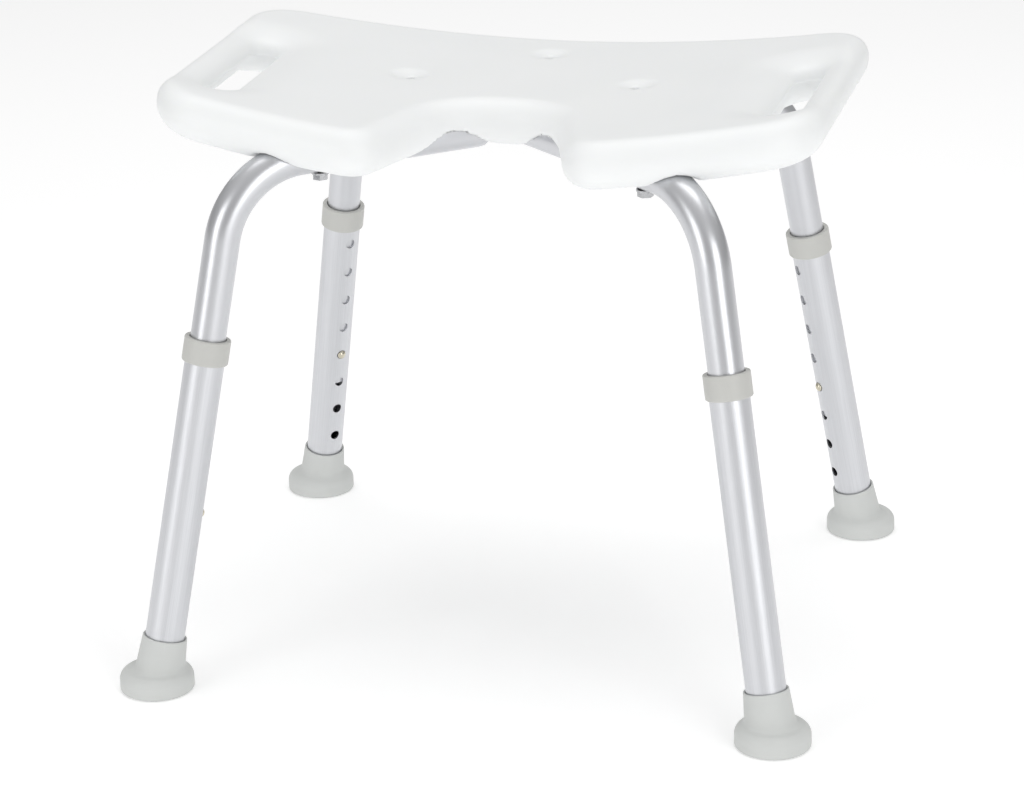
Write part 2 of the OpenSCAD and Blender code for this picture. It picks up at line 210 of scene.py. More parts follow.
# %% [markdown]
# ## The seat as a field of distances
#
# The real seat is blow-moulded polyethylene: one soft-edged shell with a rounded rim, a U cut-out,
# two hand slots with wide soft mouths, three round drain dishes, and channels underneath for the
# frame tubes. Such a form could be boxed out and subdivided, but its soft blends follow rules, so
# it is described as a field: a function that gives each point its distance to the surface, less
# than zero inside. Cutting is then a smooth maximum of two fields, which rounds the edge it makes,
# just as a mould does.

# %% Outline of the seat
SEAT_TOP, SEAT_THICK, END_RISE, RISE_REACH = 406.5, 35.0, 23.0, 235.0
HALF_WIDTH, BACK_Y, BACK_BOW = 241.0, 159.0, 17.0
FRONT_OUTER_Y, FRONT_INNER_Y = -125.0, -151.0
CUT_BACK_Y, CUT_FRONT_HALF, CUT_BACK_HALF = -37.0, 71.0, 38.0
CORNER_RADII = (45, 27, 42, 45, 1450)


def unit(v):
    return v / np.linalg.norm(v)


def corner_arc(before, corner, after, radius, steps=22):
    """Points of a round corner between two straight edges."""
    u, v = unit(before - corner), unit(after - corner)
    half = math.acos(float(u @ v)) / 2
    centre = corner + unit(u + v) * radius / math.sin(half)
    start = corner + u * radius / math.tan(half) - centre
    stop = corner + v * radius / math.tan(half) - centre
    begin = math.atan2(start[1], start[0])
    sweep = math.atan2(start[0] * stop[1] - start[1] * stop[0], float(start @ stop))
    turn = begin + sweep * np.linspace(0, 1, steps)
    return centre + radius * np.stack([np.cos(turn), np.sin(turn)], 1)


def seat_outline():
    """The right half of the outline from the cut-out to the back, and its mirror image."""
    spots = [np.array(p, float) for p in (
        (0, CUT_BACK_Y), (CUT_BACK_HALF, CUT_BACK_Y), (CUT_FRONT_HALF, FRONT_INNER_Y),
        (HALF_WIDTH, FRONT_OUTER_Y), (HALF_WIDTH, BACK_Y - BACK_BOW), (HALF_WIDTH / 2, BACK_Y),
        (0, BACK_Y))]
    arcs = [corner_arc(*spots[k:k + 3], r) for k, r in enumerate(CORNER_RADII)]
    half = np.vstack([spots[0][None], *arcs, spots[-1][None]])
    return np.vstack([half, (half * (-1, 1))[::-1][1:-1]])


outline = seat_outline()
print("outline points:", len(outline), "width and depth:", np.ptp(outline, axis=0).round())

# %% [markdown]
# The distance to the outline is needed for more than a million points. It is worked out once on a
# flat grid of one millimetre, and read from there afterwards with a blend of the four nearest
# values, which is exact enough for a surface this smooth.

# %% Distance to the outline, as a table
TABLE_STEP = 1.0
TABLE_MARGIN = 24.0
JUST_OVER = 0.1  # so that the range takes in its own end
table_x = np.arange(-HALF_WIDTH - TABLE_MARGIN, HALF_WIDTH + TABLE_MARGIN + JUST_OVER, TABLE_STEP)
table_y = np.arange(FRONT_INNER_Y - TABLE_MARGIN, BACK_Y + TABLE_MARGIN + JUST_OVER, TABLE_STEP)


def outline_table():
    """Distance to the outline at each table point: more than zero inside."""
    px, py = np.meshgrid(table_x, table_y, indexing="ij")
    nearest = np.full(px.shape, np.inf)
    crossings = np.zeros(px.shape, int)
    for a, b in zip(outline, np.roll(outline, -1, 0)):
        edge = b - a
        along = np.clip(((px - a[0]) * edge[0] + (py - a[1]) * edge[1]) / (edge @ edge), 0, 1)
        off = np.hypot(px - a[0] - along * edge[0], py - a[1] - along * edge[1])
        nearest = np.minimum(nearest, off)
        if a[1] != b[1]:
            spans = (a[1] > py) != (b[1] > py)
            crossings += spans & (px < a[0] + (py - a[1]) * edge[0] / edge[1])
    return np.where(crossings % 2 == 1, nearest, -nearest)


distance_table = outline_table()


def edge_distance(x, y):
    """Distance inwards from the outline, read from the table."""
    before_last = 1.001
    gx = np.clip((x - table_x[0]) / TABLE_STEP, 0, len(table_x) - before_last)
    gy = np.clip((y - table_y[0]) / TABLE_STEP, 0, len(table_y) - before_last)
    i, j = gx.astype(int), gy.astype(int)
    fx, fy = gx - i, gy - j
    t = distance_table
    return ((t[i, j] * (1 - fx) + t[i + 1, j] * fx) * (1 - fy)
            + (t[i, j + 1] * (1 - fx) + t[i + 1, j + 1] * fx) * fy)


deepest = float(distance_table.max())
print("table:", distance_table.shape, "deepest point inside:", round(deepest, 1), "mm")

# %% [markdown]
# Now the field itself. A smooth maximum cuts one form from another and leaves an edge of a chosen
# softness. The hand slots have a mouth 50 mm wide that narrows to a 24 mm slot, and a wider finger
# pocket below. The drain dishes are shallow caps of a sphere with a small hole.

# %% The seat's field
RIM_DEPTH = 16.0
SLOT_X, SLOT_Y, SLOT_HALF_WIDTH, SLOT_STRAIGHT = 204.0, -8.0, 12.0, 52.0
FUNNEL_DEPTH, FUNNEL_SPREAD, WEB, POCKET_HALF = 8.0, 13.0, 9.0, 17.0
FUNNEL_SOFT, POCKET_SOFT, SLOT_EDGE_SOFT = 7.0, 2.0, 13.0
DRAINS = ((-84.0, 17.0), (84.0, 17.0), (0.0, 103.0))
DISH_RADIUS, DISH_DEPTH, DRAIN_RADIUS, DISH_SOFT = 13.5, 3.0, 3.0, 1.6
FRAME_Z, FRAME_ANGLE, TUBE_RADIUS, CHANNEL_GAP = 381.0, 41.4, 12.7, 0.3
CHANNEL_END, CHANNEL_SOFT = 186.0, 2.4
TROUGH_RADIUS, TROUGH_START, TROUGH_END, TROUGH_SLOPE = 14.5, 180.0, 226.0, 17.0
TROUGH_DROP, TROUGH_SOFT = 1.0, 3.0


def seat_surface(x):
    return SEAT_TOP + END_RISE * (x / RISE_REACH) ** 2


def smooth_max(a, b, soft):
    blend = np.clip(soft - np.abs(a - b), 0, None) / soft
    return np.maximum(a, b) + blend * blend * soft / 4


def smooth_min(a, b, soft):
    return -smooth_max(-a, -b, soft)


def slot_hollow(x, y, z):
    """Less than zero in the hand slot that lies on the same side as x."""
    tilt = math.atan(2 * END_RISE * SLOT_X / RISE_REACH ** 2)
    dx, dz = np.abs(x) - SLOT_X, z - seat_surface(SLOT_X)
    across = dx * math.cos(tilt) + dz * math.sin(tilt)
    height = dz * math.cos(tilt) - dx * math.sin(tilt)
    reach = np.hypot(across, np.clip(np.abs(y - SLOT_Y) - SLOT_STRAIGHT, 0, None))
    slope = FUNNEL_SPREAD / FUNNEL_DEPTH
    mouth = (reach - SLOT_HALF_WIDTH - (height + FUNNEL_DEPTH) * slope) / math.hypot(1, slope)
    mouth = np.maximum(mouth, -(height + FUNNEL_DEPTH))
    pocket = np.maximum(reach - POCKET_HALF, height + FUNNEL_DEPTH + WEB)
    funnel = smooth_min(mouth, reach - SLOT_HALF_WIDTH, FUNNEL_SOFT)
    return smooth_min(funnel, pocket, POCKET_SOFT)


def tube_hollow(x, y, z):
    """Less than zero in the channels for the tubes, which are open downwards."""
    turn, slope = math.radians(FRAME_ANGLE), math.radians(TROUGH_SLOPE)
    rise = z - FRAME_Z
    fall = rise + TROUGH_DROP
    hollow = np.inf
    for side in (1, -1):
        along = np.abs(x * math.cos(turn) + side * y * math.sin(turn))
        beside = -side * x * math.sin(turn) + y * math.cos(turn)
        round_part = np.where(rise > 0, np.hypot(beside, rise), np.abs(beside))
        level = np.maximum(round_part - TUBE_RADIUS - CHANNEL_GAP, along - CHANNEL_END)
        down = (along - TROUGH_START) * math.cos(slope) - fall * math.sin(slope)
        over = (along - TROUGH_START) * math.sin(slope) + fall * math.cos(slope)
        trough = np.maximum(np.hypot(beside, over) - TROUGH_RADIUS,
                            np.maximum(-down, down - (TROUGH_END - TROUGH_START)))
        hollow = np.minimum(hollow, smooth_min(level, trough, TROUGH_SOFT))
    return hollow


def seat_field(x, y, z):
    """Less than zero inside the seat."""
    inward = edge_distance(x, y)
    half = SEAT_THICK / 2
    height = (z - seat_surface(x) + half) * RIM_DEPTH / half
    rim = np.hypot(np.clip(RIM_DEPTH - inward, 0, None), height) - RIM_DEPTH
    field = smooth_max(rim, -slot_hollow(x, y, z), SLOT_EDGE_SOFT)
    dish_sphere = (DISH_RADIUS ** 2 + DISH_DEPTH ** 2) / (2 * DISH_DEPTH)
    for dx, dy in DRAINS:
        off = np.hypot(x - dx, y - dy)
        above = z - seat_surface(dx) - dish_sphere + DISH_DEPTH
        field = smooth_max(field, dish_sphere - np.hypot(off, above), DISH_SOFT)
        field = smooth_max(field, DRAIN_RADIUS - off, DISH_SOFT)
    return smooth_max(field, -tube_hollow(x, y, z), CHANNEL_SOFT)


inside_seat = np.array([[0.0], [50.0], [389.0]])
print("field at a point inside the seat:", seat_field(*inside_seat).round(2), "mm")

# %% [markdown]
# ## From field to mesh
#
# A field becomes a mesh with a method called surface nets. Space is divided into small cubes, each
# cube that the surface passes through gets one point, and neighbouring points are joined by
# four-sided faces. The points are then moved along the field's slope until they lie on the
# surface, which takes away the steps of the grid.

# %% Surface nets
SETTLE_ROUNDS, FLATTEST_SLOPE = 4, 0.2


def surface_net(field, low, high, step):
    """Points in millimetres and quads of the surface where field is zero."""
    axes = [np.arange(a, b + step, step) for a, b in zip(low, high)]
    grid = np.meshgrid(*axes, indexing="ij")
    value = field(*grid)
    inside = value < 0
    total = np.zeros([n - 1 for n in value.shape] + [3])
    count = np.zeros([n - 1 for n in value.shape])
    corners = [(i, j, k) for i in (0, 1) for j in (0, 1) for k in (0, 1)]

    def part(array, corner):
        return array[tuple(slice(c, c + n - 1) for c, n in zip(corner, value.shape))]

    for a in corners:
        for axis in range(3):
            if a[axis]:
                continue
            b = tuple(c + (n == axis) for n, c in enumerate(a))
            va, vb = part(value, a), part(value, b)
            crosses = (va < 0) != (vb < 0)
            share = np.where(crosses, va / np.where(crosses, va - vb, 1), 0)
            for n in range(3):
                spot = a[n] + (share if n == axis else 0)
                total[..., n] += np.where(crosses, spot, 0)
            count += crosses
    used = count > 0
    index = np.full(used.shape, -1)
    index[used] = np.arange(used.sum())
    cell = np.argwhere(used)
    points = np.array(low) + (cell + total[used] / count[used][:, None]) * step
    quads = []
    for axis in range(3):
        b, c = (axis + 1) % 3, (axis + 2) % 3
        first = [slice(1, n - 1) for n in value.shape]
        second = list(first)
        first[axis], second[axis] = slice(0, value.shape[axis] - 1), slice(1, value.shape[axis])
        change = inside[tuple(first)].astype(int) - inside[tuple(second)].astype(int)
        at = np.argwhere(change != 0)
        sign = change[tuple(at.T)]
        offset = np.array([1, 1, 1])
        offset[axis] = 0
        at = at + offset
        around = []
        for db, dc in ((-1, -1), (0, -1), (0, 0), (-1, 0)):
            spot = at.copy()
            spot[:, b] += db
            spot[:, c] += dc
            around.append(index[tuple(spot.T)])
        around = np.stack(around, 1)
        quads.append(np.where(sign[:, None] > 0, around, around[:, ::-1]))
    return points, np.vstack(quads)


def settle(points, field, probe, most):
    """Moves each point along the field's slope onto the surface, by at most so much a round."""
    for _ in range(SETTLE_ROUNDS):
        value = field(*points.T)
        slope = np.stack([(field(*(points + d).T) - field(*(points - d).T)) / (2 * probe)
                          for d in np.eye(3) * probe], 1)
        length = np.maximum((slope ** 2).sum(1), FLATTEST_SLOPE)
        move = -slope * (value / length)[:, None]
        size = np.maximum(np.linalg.norm(move, axis=1), 1e-9)
        points = points + move * np.minimum(1, most / size)[:, None]
    return points


def ball(x, y, z):
    return x * x + y * y + z * z - 9


ball_points, ball_quads = surface_net(ball, (-5, -5, -5), (5, 5, 5), 1)
print("a test ball of radius 3 gets", len(ball_points), "points and", len(ball_quads), "quads")

# %% The seat's mesh
seat_step = 2.0
seat_low = (-HALF_WIDTH - 5, FRONT_INNER_Y - 5, SEAT_TOP - SEAT_THICK - 5)
seat_high = (HALF_WIDTH + 5, BACK_Y + 5, SEAT_TOP + END_RISE + 6)
seat_points, seat_quads = surface_net(seat_field, seat_low, seat_high, seat_step)
seat_points = settle(seat_points, seat_field, probe=0.15, most=0.6)
seat = mesh_piece("seat_shell", seat_points, seat_quads)
print("seat:", len(seat_points), "points and", len(seat_quads), "quads")

# %% [markdown]
# ## Polyethylene
#
# The seat is white high-density polyethylene, blow-moulded against a lightly blasted mould. It is a
# little waxy: light goes a few millimetres in and comes out softer, reflections are broad, and a
# fine grain breaks them up. No real surface has one tone and one gloss, so every material here
# wanders a little between two tones and two roughnesses, and a noise drives both. Four small
# helpers add the noise, the tone, the roughness and the fine grain.

# %% Shared parts of the materials


def noise(tree, place, scale, detail):
    """A noise whose scale is in spots per metre, so 1250 gives spots of 0.8 mm."""
    made = add_node(tree, "ShaderNodeTexNoise", {"Vector": place}, Scale=scale, Detail=detail)
    return made.outputs["Fac"]


def set_tone(tree, shader, factor, dark, light):
    tone = add_node(tree, "ShaderNodeMix", {"Factor": factor}, data_type="RGBA")
    tone.inputs["A"].default_value = linear(dark)
    tone.inputs["B"].default_value = linear(light)
    tree.links.new(tone.outputs["Result"], shader.inputs["Base Color"])


def set_roughness(tree, shader, factor, low, high):
    haze = add_node(tree, "ShaderNodeMapRange", {"Value": factor}, To_Min=low, To_Max=high)
    tree.links.new(haze.outputs["Result"], shader.inputs["Roughness"])


def set_bump(tree, shader, height, strength, distance):
    bump = add_node(tree, "ShaderNodeBump", {"Height": height},
                    Strength=strength, Distance=distance)
    tree.links.new(bump.outputs["Normal"], shader.inputs["Normal"])


print("helpers:", noise.__name__, set_tone.__name__, set_roughness.__name__, set_bump.__name__)

# %% Material of the seat


def polyethylene():
    made, tree, shader = new_material("blow_moulded_polyethylene")
    shader.inputs["IOR"].default_value = 1.54
    shader.inputs["Subsurface Weight"].default_value = 0.12
    shader.inputs["Subsurface Radius"].default_value = (0.004, 0.004, 0.0035)
    shader.inputs["Subsurface Scale"].default_value = 1.0
    place = add_node(tree, "ShaderNodeTexCoord").outputs["Object"]
    cloud = noise(tree, place, 14.0, 3.0)
    set_tone(tree, shader, cloud, "#EEF0F0", "#F1F2F2")
    set_roughness(tree, shader, cloud, 0.40, 0.50)
    # the grain of the blasted mould, about 0.8 mm wide
    set_bump(tree, shader, noise(tree, place, 1250.0, 2.0), 0.18, 0.0003)
    return made


give(seat, polyethylene())
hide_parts("seat")
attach(seat, "frame")
print("seat material:", seat.data.materials[0].name)

# %% [markdown]
# ## Finishes of the metal, plastic and rubber parts
#
# The tubes are drawn aluminium with a satin anodised skin. Anodising leaves a very fine etched
# grain with faint lines along the tube from drawing, so highlights are broad and soft. The lines
# follow the tube through its bends, so the material reads an attribute called tube_space, which
# holds each point's place on the tube as if it were straight.

# %% Aluminium


def anodised_aluminium(name, dark, light, rough_low, rough_high):
    """Drawn tube with an etched anodised skin; a longer etch gives a duller tube."""
    made, tree, shader = new_material(name)
    shader.inputs["Metallic"].default_value = 1.0
    place = add_node(tree, "ShaderNodeAttribute", attribute_name="tube_space").outputs["Vector"]
    # drawing lines: 0.5 mm apart round the tube and about 60 mm long
    drawn_out = add_node(tree, "ShaderNodeMapping", {"Vector": place}, Scale=(1.0, 1.0, 0.008))
    lines = noise(tree, drawn_out.outputs["Vector"], 2000.0, 3.0)
    cloud = noise(tree, place, 60.0, 2.0)
    set_tone(tree, shader, lines, dark, light)
    set_roughness(tree, shader, cloud, rough_low, rough_high)
    # etched grain, drawn at 0.4 mm so that it shows
    etch = noise(tree, place, 2500.0, 1.0)
    both = add_node(tree, "ShaderNodeMath", {0: lines, 1: etch}, operation="ADD")
    set_bump(tree, shader, both.outputs["Value"], 0.16, 0.0001)
    return made


frame_aluminium = anodised_aluminium(
    "bright_anodised_aluminium", "#C6C7CA", "#D8D9DC", 0.30, 0.38)
leg_aluminium = anodised_aluminium(
    "satin_anodised_aluminium", "#C8C9CC", "#DEDFE2", 0.38, 0.46)
print("made", frame_aluminium.name, "and", leg_aluminium.name)

# %% [markdown]
# The collars are injection-moulded grey plastic and the feet are moulded soft rubber. Both have a
# fine matt grain; the rubber is duller and a little dusty. The small metal parts get the finish of
# plated or turned metal, with faint unevenness in their roughness.

# %% Plastic, rubber and small metal parts


def moulded(name, dark, light, rough_low, rough_high, grain_mm, depth_mm, ior):
    """A moulded plastic or rubber with a cloudy tone and a fine grain."""
    made, tree, shader = new_material(name)
    shader.inputs["IOR"].default_value = ior
    place = add_node(tree, "ShaderNodeTexCoord").outputs["Object"]
    cloud = noise(tree, place, 55.0, 4.0)
    set_tone(tree, shader, cloud, dark, light)
    set_roughness(tree, shader, cloud, rough_low, rough_high)
    set_bump(tree, shader, noise(tree, place, 1000.0 / grain_mm, 2.0), 0.2, depth_mm * MM)
    return made


def small_metal(name, dark, light, rough_low, rough_high):
    """A plated, turned or rolled metal with faint unevenness."""
    made, tree, shader = new_material(name)
    shader.inputs["Metallic"].default_value = 1.0
    place = add_node(tree, "ShaderNodeTexCoord").outputs["Object"]
    cloud = noise(tree, place, 400.0, 3.0)
    set_tone(tree, shader, cloud, dark, light)
    set_roughness(tree, shader, cloud, rough_low, rough_high)
    return made


collar_plastic = moulded("moulded_grey_polypropylene", "#BFBFBB", "#C4C4C0", 0.42, 0.5,
                         grain_mm=0.6, depth_mm=0.2, ior=1.49)
foot_rubber = moulded("soft_grey_rubber", "#C8CAC8", "#CED0CE", 0.55, 0.7,
                      grain_mm=0.7, depth_mm=0.25, ior=1.52)
button_metal = small_metal("polished_pale_brass", "#C4BDA8", "#DAD5C6", 0.18, 0.28)
spring_steel = small_metal("blued_spring_steel", "#6E6F72", "#85868A", 0.3, 0.42)
zinc_plate = small_metal("bright_zinc_plate", "#A9AAAC", "#C3C4C6", 0.2, 0.35)
turned_brass = small_metal("turned_brass", "#C2A35A", "#D4B975", 0.22, 0.34)
finishes = {"seat_bolts": zinc_plate, "seat_washers": zinc_plate, "seat_inserts": turned_brass}
for node_name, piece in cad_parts.items():
    kind = next((k for k in finishes if node_name.startswith(k)), None)
    if kind:
        give(piece, finishes[kind])
print("small parts finished:", sorted(finishes))

# %% [markdown]
# ## The legs' own frame
#
# Each leg leans 11.7 degrees and points away from the centre. Its parts are drawn once, upright,
# with the tube's axis on z, and one function puts them on each leg.

# %% Put points on a leg
LEGS = {"fl": 180 + FRAME_ANGLE, "fr": -FRAME_ANGLE, "bl": 180 - FRAME_ANGLE, "br": FRAME_ANGLE}
LEG_LEAN, FOOT_RADIUS = math.radians(11.7), 302.5
LEG_RADIUS, LEG_BORE, LEG_BOTTOM, LEG_TOP = 14.3, 12.8, 10.0, 263.0
HOLE_TOP, HOLE_PITCH, HOLE_COUNT, HOLE_RADIUS, LOCKED_HOLE = 235.8, 25.4, 8, 3.85, 5
BUTTON_AT = HOLE_TOP - HOLE_PITCH * (LOCKED_HOLE - 1)


def turned(points, azimuth):
    """Points turned round the vertical axis by degrees."""
    c, s = math.cos(math.radians(azimuth)), math.sin(math.radians(azimuth))
    return np.asarray(points, float) @ np.array([[c, s, 0], [-s, c, 0], [0, 0, 1]])


def on_leg(points, azimuth):
    """Points of the upright leg frame, leant and moved to a leg."""
    c, s = math.cos(LEG_LEAN), math.sin(LEG_LEAN)
    leant = np.asarray(points, float) @ np.array([[c, 0, s], [0, 1, 0], [-s, 0, c]])
    return turned(leant + (FOOT_RADIUS, 0, 0), azimuth)


def put_vertices(mesh, points_mm):
    mesh.vertices.foreach_set("co", (np.asarray(points_mm) * MM).ravel())
    mesh.update()


def vertices_mm(mesh):
    flat = np.empty(len(mesh.vertices) * 3)
    mesh.vertices.foreach_get("co", flat)
    return flat.reshape(-1, 3) / MM


def settle_modifiers(piece):
    """Turns what the modifiers show into the piece's own plain mesh."""
    graph = bpy.context.evaluated_depsgraph_get()
    seen = bpy.data.meshes.new_from_object(piece.evaluated_get(graph))
    piece.modifiers.clear()
    piece.data = seen
    return piece


def keep_tube_space(mesh, places):
    """Stores each point's place on the straight tube for the material, in metres."""
    kept = mesh.attributes.new("tube_space", "FLOAT_VECTOR", "POINT")
    kept.data.foreach_set("vector", (places * MM).ravel())


print("legs at degrees:", LEGS)

# %% [markdown]
# ## Frame tubes
#
# A tube that is bent at a workshop has a straight part, a bend of one radius, and a straight part.
# That is a path, so Geometry Nodes make it: a line through four points, each corner filleted with
# the bend radius, and a round profile carried along it. The sizes are the tree's named inputs.

# %% A tree for a bent tube
RING_COUNT, BEND_STEPS = 72, 40


def new_tree(name, sizes):
    """A geometry tree with geometry in and out, named float sizes and a material."""
    tree = bpy.data.node_groups.new(name, "GeometryNodeTree")

    def socket(title, kind, in_out="INPUT"):
        made = tree.interface.new_socket(title, in_out=in_out, socket_type="NodeSocket" + kind)
        return made.identifier

    socket("Geometry", "Geometry")
    keys = {n: socket(n, "Float") for n in sizes}
    keys["Finish"] = socket("Finish", "Material")
    socket("Geometry", "Geometry", "OUTPUT")
    return tree, keys, tree.nodes.new("NodeGroupInput"), tree.nodes.new("NodeGroupOutput")


def finish_tree(tree, start, end, geometry):
    """Gives the tree's result its material and sends it out."""
    done = add_node(tree, "GeometryNodeSetMaterial", {"Geometry": geometry,
                    "Material": start.outputs["Finish"]})
    tree.links.new(done.outputs["Geometry"], end.inputs["Geometry"])


def grow(piece, tree, keys, values):
    """Runs a tree on a piece and keeps the result as a plain mesh."""
    modifier = piece.modifiers.new(tree.name, "NODES")
    modifier.node_group = tree
    for name, value in values.items():
        modifier[keys[name]] = value
    return settle_modifiers(piece)


def bent_tube_tree():
    sizes = ("Bend radius", "Tube radius", "Ring spacing")
    tree, keys, start, end = new_tree("bent_tube", sizes)
    path = add_node(tree, "GeometryNodeMeshToCurve", {"Mesh": start.outputs["Geometry"]})
    bent = add_node(tree, "GeometryNodeFilletCurve", {"Curve": path.outputs["Curve"],
                    "Radius": start.outputs["Bend radius"]}, mode="POLY", Count=BEND_STEPS)
    rings = add_node(tree, "GeometryNodeResampleCurve", {"Curve": bent.outputs["Curve"],
                     "Length": start.outputs["Ring spacing"]}, mode="LENGTH")
    ring = add_node(tree, "GeometryNodeCurvePrimitiveCircle", {
                    "Radius": start.outputs["Tube radius"]}, Resolution=RING_COUNT)
    skin = add_node(tree, "GeometryNodeCurveToMesh", {"Curve": rings.outputs["Curve"],
                    "Profile Curve": ring.outputs["Curve"]})
    smooth = add_node(tree, "GeometryNodeSetShadeSmooth", {"Geometry": skin.outputs["Mesh"]})
    whole = add_node(tree, "GeometryNodeRealizeInstances", {
                     "Geometry": smooth.outputs["Geometry"]})
    finish_tree(tree, start, end, whole.outputs["Geometry"])
    return tree, keys


tube_tree, tube_keys = bent_tube_tree()
print("tree inputs:", list(tube_keys))

# %% [markdown]
# Where the two frames cross, each tube is pressed to half its height, so that both lie level. The
# press also rounds the change from flat to full. Afterwards Solidify gives the wall, and a Boolean
# drills the holes for the seat bolts and for the lock buttons.

# %% Tools for the frame tubes
DRILL_SIDES = 28
PRESSED_HALF, PRESS_GAP, PRESS_RUN = 15.6, 0.15, 16.0
BELOW_TUBE = 20  # from a level tube's axis to a point well clear of it


def cylinder_mesh(name, places, radius, length):
    """Closed cylinders as one mesh; each place is a start point and a direction in millimetres."""
    sides = DRILL_SIDES
    points, faces = [], []
    for start, direction in places:
        along = Vector(direction).normalized()
        side = along.orthogonal().normalized()
        other = along.cross(side)
        base = len(points)
        for end in (0, length):
            for k in range(sides):
                a = 2 * math.pi * k / sides
                out = (side * math.cos(a) + other * math.sin(a)) * radius
                points.append(Vector(start) + along * end + out)
        faces.append([base + k for k in reversed(range(sides))])
        faces.append([base + sides + k for k in range(sides)])
        for k in range(sides):
            m = (k + 1) % sides
            faces.append([base + k, base + m, base + sides + m, base + sides + k])
    return mesh_piece(name, points, faces, smooth=False)


def drill(piece, cutter):
    """Cuts one closed mesh out of another and removes the cutter."""
    cut = piece.modifiers.new("drill", "BOOLEAN")
    cut.operation, cut.solver, cut.object = "DIFFERENCE", "EXACT", cutter
    settle_modifiers(piece)
    bpy.data.objects.remove(cutter)


def press_crossing(points, upwards):
    """Half the tube's height where the other frame crosses, with a soft change to full height."""
    beyond = np.clip((np.abs(points[:, 0]) - PRESSED_HALF) / PRESS_RUN, 0, 1)
    weight = 1 - beyond * beyond * (3 - 2 * beyond)
    way = 1 if upwards else -1
    height = (points[:, 2] - FRAME_Z) * way
    pressed = np.maximum(height, PRESS_GAP)
    near = (points[:, 2] > FRAME_Z - BELOW_TUBE) & (weight > 0)
    height = np.where(near, height * (1 - weight) + pressed * weight, height)
    points[:, 2] = FRAME_Z + height * way
    return points


def straight_places(middle):
    """For each ring's middle, the places of its points on the tube as if it were straight."""
    steps = np.linalg.norm(np.diff(middle, axis=0), axis=1)
    run = np.concatenate([[0], np.cumsum(steps)])
    turn = 2 * math.pi * np.arange(RING_COUNT) / RING_COUNT
    across = [np.tile(f(turn) * TUBE_RADIUS, len(middle)) for f in (np.cos, np.sin)]
    return np.stack([*across, np.repeat(run, RING_COUNT)], 1)


print("each tube is pressed over", 2 * PRESSED_HALF, "mm, and over", PRESS_RUN, "mm more each way")

# %% The two frame tubes
TUBE_WALL, BEND_RADIUS, RING_SPACING = 1.2, 64.0, 3.5
FRAME_END = BUTTON_AT - 27
BOLT_RADIUS, BOLT_HOLE_RADIUS, DRILL_REACH = 157.0, 3.3, 18.0
SHARP_EDGE = math.radians(50)


def frame_tube(name, azimuth, upwards):
    end = [tuple(v) for v in on_leg([(0, 0, FRAME_END)], 0)][0]
    corner = (FOOT_RADIUS - FRAME_Z * math.tan(LEG_LEAN), 0, FRAME_Z)
    route = [end, corner, (-corner[0], 0, corner[2]), (-end[0], 0, end[2])]
    mesh = bpy.data.meshes.new(name)
    mesh.from_pydata([Vector(p) * MM for p in route], [(0, 1), (1, 2), (2, 3)], [])
    piece = new_object(name, mesh)
    grow(piece, tube_tree, tube_keys, {
        "Bend radius": BEND_RADIUS * MM, "Tube radius": TUBE_RADIUS * MM,
        "Ring spacing": RING_SPACING * MM, "Finish": frame_aluminium})
    points = vertices_mm(piece.data)
    middle = points.reshape(-1, RING_COUNT, 3).mean(1)
    put_vertices(piece.data, press_crossing(points, upwards))
    keep_tube_space(piece.data, straight_places(middle))
    face = piece.data.polygons[0]
    if face.normal.dot(face.center - Vector(middle[0]) * MM) < 0:
        piece.data.flip_normals()
    wall = piece.modifiers.new("wall", "SOLIDIFY")
    wall.thickness, wall.offset, wall.use_rim = TUBE_WALL * MM, -1, True
    settle_modifiers(piece)
    c, s = math.cos(LEG_LEAN), math.sin(LEG_LEAN)
    holes = []
    for side in (1, -1):
        at = on_leg([(0, 0, BUTTON_AT)], 0)[0] * (side, 1, 1)
        holes.append((at, (-c * side, 0, -s)))
    drill(piece, cylinder_mesh("button_drill", holes, HOLE_RADIUS, DRILL_REACH))
    bolts = [((side * BOLT_RADIUS, 0, FRAME_Z - BELOW_TUBE), (0, 0, 1)) for side in (1, -1)]
    drill(piece, cylinder_mesh("bolt_drill", bolts, BOLT_HOLE_RADIUS, 2 * BELOW_TUBE))
    put_vertices(piece.data, turned(vertices_mm(piece.data), azimuth))
    piece.data.set_sharp_from_angle(angle=SHARP_EDGE)
    return piece


for letter, turn, upwards in (("a", FRAME_ANGLE, True), ("b", -FRAME_ANGLE, False)):
    piece = frame_tube(f"bent_frame_tube_{letter}", turn, upwards)
    give(piece, frame_aluminium)
    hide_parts(f"frame_tube_{letter}")
    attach(piece, "frame")
    print(piece.name, len(piece.data.polygons), "faces")

# %% [markdown]
# ## Leg tubes
#
# The holes of a leg tube repeat every 25.4 mm, the standard inch. Geometry Nodes place one drill on
# each point of a line, and a Mesh Boolean takes them all out of the tube's wall. The wall's shading
# is then set by rule: outside and inside, each corner's normal points straight from the axis.

# %% A tree for a drilled tube
DRILL_LENGTH, BIT_SIDES = 12.0, 36


